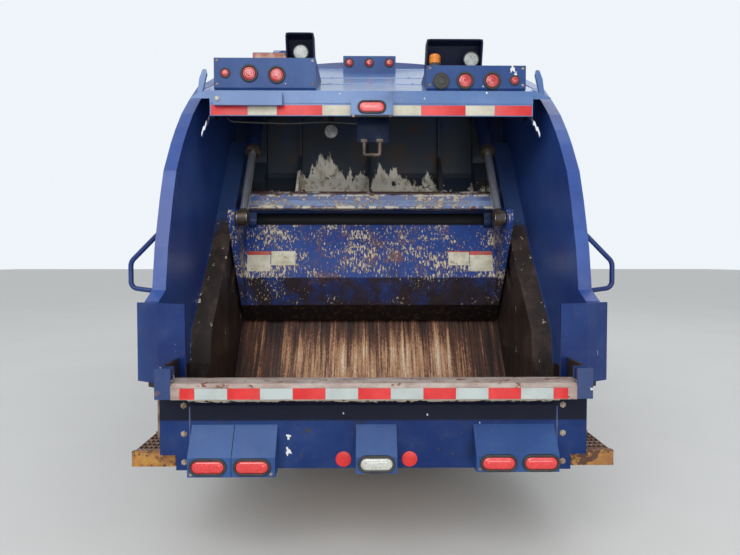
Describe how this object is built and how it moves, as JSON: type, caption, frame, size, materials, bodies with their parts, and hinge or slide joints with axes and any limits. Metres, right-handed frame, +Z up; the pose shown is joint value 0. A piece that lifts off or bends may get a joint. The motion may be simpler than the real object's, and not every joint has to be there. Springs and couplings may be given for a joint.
{
  "type": "rear loading garbage truck",
  "caption": "Rear loading garbage truck with a low forward cab, ribbed load body and a lifting tailgate whose sliding carrier and swinging blade sweep the curved hopper.",
  "frame": {"origin": "on the ground under the centre of the bounding box", "axes": "+Y towards the cab's front, +X to the truck's right side, +Z up"},
  "size_m": [2.8, 9.3, 3.3349],
  "materials": {
    "blue_paint": "gloss",
    "hopper_steel": "rusty",
    "worn_steel": "worn",
    "chrome_rod": "polished",
    "chassis_black": "satin",
    "tyre_rubber": "matt",
    "rim_white": "gloss",
    "red_lens": "gloss",
    "clear_lens": "gloss",
    "amber_lens": "gloss",
    "window_glass": "clear",
    "yellow_paint": "worn",
    "seat_cover": "matt",
    "aluminium_tank": "satin",
    "black_plastic": "matt"
  },
  "bodies": {
    "chassis": {"frame_rails": "chassis_black", "axles": "chassis_black", "engine": "chassis_black", "fuel_tank": "aluminium_tank", "side_boxes": "chassis_black", "mudguards": "black_plastic", "exhaust_stack": "chrome_rod", "air_cleaner": "black_plastic", "front_bumper": "blue_paint", "head_lamps": "clear_lens", "cab_steps": "chassis_black", "body_shell": "blue_paint"},
    "ejector": {"ejector_panel": "blue_paint"},
    "lift_barrels": {"lift_barrels": "blue_paint"},
    "lift_rods": {"lift_rods": "chrome_rod"},
    "tailgate": {"tailgate_sides": "blue_paint", "tailgate_roof": "blue_paint", "throat_panel": "blue_paint", "hopper": "hopper_steel", "hopper_cheeks": "hopper_steel", "sill": "worn_steel", "trunnion_latches": "worn_steel", "lower_panel": "blue_paint", "lamp_boxes": "blue_paint", "light_boxes": "blue_paint", "corner_guards": "blue_paint", "riding_steps": "yellow_paint", "grab_handles": "blue_paint", "red_lamps": "red_lens", "clear_lamps": "clear_lens", "amber_beacon": "amber_lens"},
    "carrier": {"carrier": "blue_paint"},
    "blade": {"blade": "blue_paint"},
    "sweep_barrels": {"sweep_barrels": "blue_paint"},
    "sweep_rods": {"sweep_rods": "chrome_rod"},
    "cab": {"cab_shell": "blue_paint", "cab_skirt": "blue_paint", "cab_glass": "window_glass", "cab_interior": "black_plastic", "seats": "seat_cover", "mirrors": "black_plastic"},
    "door_left": {"door_left": "blue_paint", "door_glass_left": "window_glass"},
    "door_right": {"door_right": "blue_paint", "door_glass_right": "window_glass"},
    "knuckle_left": {"knuckle_left": "chassis_black"},
    "knuckle_right": {"knuckle_right": "chassis_black"},
    "wheel_front_left": {"tyre_front_left": "tyre_rubber", "rim_front_left": "rim_white"},
    "wheel_front_right": {"tyre_front_right": "tyre_rubber", "rim_front_right": "rim_white"},
    "wheel_mid_left": {"tyre_mid_left": "tyre_rubber", "rim_mid_left": "rim_white"},
    "wheel_mid_right": {"tyre_mid_right": "tyre_rubber", "rim_mid_right": "rim_white"},
    "wheel_rear_left": {"tyre_rear_left": "tyre_rubber", "rim_rear_left": "rim_white"},
    "wheel_rear_right": {"tyre_rear_right": "tyre_rubber", "rim_rear_right": "rim_white"}
  },
  "joints": [
    {"name": "tailgate_lift", "type": "hinge", "parent": "chassis", "child": "tailgate", "pos_m": [0, -2.416, 3.29], "axis": [-1, 0, 0], "range_deg": [0, 88]},
    {"name": "carrier_slide", "type": "slide", "parent": "tailgate", "child": "carrier", "axis": [0, -0.5835, -0.8121], "range_m": [0, 0.8]},
    {"name": "blade_sweep", "type": "hinge", "parent": "carrier", "child": "blade", "pos_m": [0, -2.85, 1.85], "axis": [-1, 0, 0], "range_deg": [0, 75]},
    {"name": "sweep_barrel_swing", "type": "hinge", "parent": "carrier", "child": "sweep_barrels", "pos_m": [0, -2.5, 3], "axis": [-1, 0, 0], "range_deg": [-1.33, 0]},
    {"name": "sweep_rod_slide", "type": "slide", "parent": "sweep_barrels", "child": "sweep_rods", "axis": [0, 0.5691, 0.8223], "range_m": [0, 0.54786]},
    {"name": "lift_barrel_swing", "type": "hinge", "parent": "chassis", "child": "lift_barrels", "pos_m": [0, -1.95, 1.7], "axis": [-1, 0, 0], "range_deg": [0, 12.01]},
    {"name": "lift_rod_slide", "type": "slide", "parent": "lift_barrels", "child": "lift_rods", "axis": [0, -0.6668, 0.7452], "range_m": [0, 0.97525]},
    {"name": "ejector_slide", "type": "slide", "parent": "chassis", "child": "ejector", "axis": [0, -1, 0], "range_m": [0, 4.08]},
    {"name": "cab_tilt", "type": "hinge", "parent": "chassis", "child": "cab", "pos_m": [0, 4.5, 0.76], "axis": [-1, 0, 0], "range_deg": [0, 45]},
    {"name": "door_left_swing", "type": "hinge", "parent": "cab", "child": "door_left", "pos_m": [-1.214, 4.463, 1.8], "axis": [0, 0, -1], "range_deg": [0, 70]},
    {"name": "door_right_swing", "type": "hinge", "parent": "cab", "child": "door_right", "pos_m": [1.214, 4.463, 1.8], "axis": [0, 0, 1], "range_deg": [0, 70]},
    {"name": "steer_left", "type": "hinge", "parent": "chassis", "child": "knuckle_left", "pos_m": [-0.82, 2.92, 0.52], "axis": [0, 0, 1], "range_deg": [-35, 35]},
    {"name": "steer_right", "type": "hinge", "parent": "chassis", "child": "knuckle_right", "pos_m": [0.82, 2.92, 0.52], "axis": [0, 0, 1], "range_deg": [-35, 35]},
    {"name": "front_left_spin", "type": "hinge", "parent": "knuckle_left", "child": "wheel_front_left", "pos_m": [-1.05, 2.92, 0.52], "axis": [-1, 0, 0], "continuous": true},
    {"name": "front_right_spin", "type": "hinge", "parent": "knuckle_right", "child": "wheel_front_right", "pos_m": [1.05, 2.92, 0.52], "axis": [-1, 0, 0], "continuous": true},
    {"name": "mid_left_spin", "type": "hinge", "parent": "chassis", "child": "wheel_mid_left", "pos_m": [-0.9, -0.825, 0.52], "axis": [-1, 0, 0], "continuous": true},
    {"name": "mid_right_spin", "type": "hinge", "parent": "chassis", "child": "wheel_mid_right", "pos_m": [0.9, -0.825, 0.52], "axis": [-1, 0, 0], "continuous": true},
    {"name": "rear_left_spin", "type": "hinge", "parent": "chassis", "child": "wheel_rear_left", "pos_m": [-0.9, -2.175, 0.52], "axis": [-1, 0, 0], "continuous": true},
    {"name": "rear_right_spin", "type": "hinge", "parent": "chassis", "child": "wheel_rear_right", "pos_m": [0.9, -2.175, 0.52], "axis": [-1, 0, 0], "continuous": true}
  ],
  "couplings": [
    {"joint": "sweep_barrel_swing", "follows": "blade_sweep", "ratio": -0.017455},
    {"joint": "sweep_rod_slide", "follows": "blade_sweep", "m_per_rad": 0.41815},
    {"joint": "lift_barrel_swing", "follows": "tailgate_lift", "ratio": 0.13624},
    {"joint": "lift_rod_slide", "follows": "tailgate_lift", "m_per_rad": 0.63465},
    {"joint": "steer_right", "follows": "steer_left", "ratio": 1}
  ]
}
